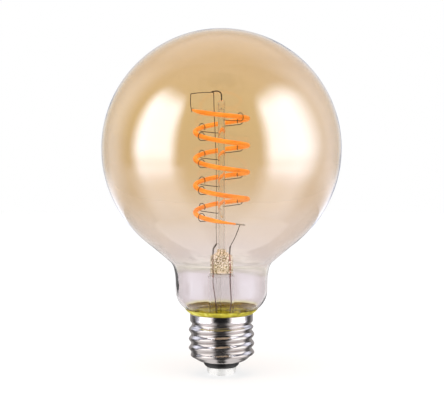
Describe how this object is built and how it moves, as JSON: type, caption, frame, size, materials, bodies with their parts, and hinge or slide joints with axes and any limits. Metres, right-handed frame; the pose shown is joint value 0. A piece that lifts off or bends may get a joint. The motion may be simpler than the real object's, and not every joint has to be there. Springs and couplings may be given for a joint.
{
  "type": "filament globe lamp with screw cap",
  "caption": "Amber glass globe lamp with a helical LED filament on a glass stem, a metal screw cap and a driver with a wireless module inside the cap.",
  "frame": {"origin": "middle of the centre contact's flat face, at the end of the cap", "axes": "+Z along the lamp's axis from the cap to the top of the globe, -Y towards the side the first filament turn crosses from left to right, +X to the right of that view"},
  "size_m": [0.095, 0.095, 0.1378],
  "materials": {
    "amber_glass": "clear glass, amber metallic coat that fades from the globe's top to the neck",
    "stem_glass": "clear polished glass",
    "press_glass": "pinched glass with bubbles",
    "phosphor": "orange phosphor silicone, softly lit",
    "carrier_strip": "pale flexible strip",
    "terminal_metal": "satin plated strip",
    "support_wire": "dull drawn wire",
    "lead_wire": "dull nickel wire",
    "seal_wire": "red copper-clad seal wire",
    "outer_lead": "oxidised copper wire",
    "cement": "matte olive-yellow basing cement",
    "nickel_shell": "bright nickel plate",
    "black_insulator": "black glassy insulator",
    "contact_plate": "tinned contact",
    "board_green": "solder-masked circuit board",
    "board_blue": "solder-masked module board",
    "black_package": "moulded chip package",
    "capacitor_sleeve": "dark shrink sleeve",
    "inductor_ferrite": "dark ferrite drum with winding",
    "resistor_coat": "lacquered resistor body",
    "shield_can": "tinned shield can",
    "red_sleeve": "red wire insulation",
    "blue_sleeve": "blue wire insulation",
    "solder": "solder"
  },
  "bodies": {
    "root": {"glass_envelope": "amber_glass", "stem_flare": "stem_glass", "stem_press": "press_glass", "exhaust_tube": "stem_glass", "support_rod": "stem_glass", "filament_phosphor": "phosphor", "filament_strip": "carrier_strip", "terminal_upper": "terminal_metal", "terminal_lower": "terminal_metal", "anchor_wire": "lead_wire", "upper_link_wire": "lead_wire", "riser_wire": "lead_wire", "lower_link_wire": "lead_wire", "inner_lead_left": "lead_wire", "inner_lead_right": "lead_wire", "press_wire_left": "seal_wire", "press_wire_right": "seal_wire", "lead_out_left": "outer_lead", "lead_out_right": "outer_lead", "support_hook_01": "support_wire", "support_hook_02": "support_wire", "support_hook_03": "support_wire", "support_hook_04": "support_wire", "support_hook_05": "support_wire", "support_hook_06": "support_wire", "support_hook_07": "support_wire", "support_hook_08": "support_wire", "support_hook_09": "support_wire", "support_hook_10": "support_wire", "support_hook_11": "support_wire", "support_hook_12": "support_wire", "support_hook_13": "support_wire", "basing_cement": "cement", "screw_shell": "nickel_shell", "base_insulator": "black_insulator", "centre_contact": "contact_plate", "driver_board": "board_green", "bridge_rectifier": "black_package", "driver_chip": "black_package", "bulk_capacitor": "capacitor_sleeve", "inductor": "inductor_ferrite", "fusible_resistor": "resistor_coat", "wireless_board": "board_blue", "wireless_shield": "shield_can", "live_wire": "red_sleeve", "neutral_wire": "blue_sleeve", "shell_weld": "solder"}
  },
  "joints": []
}
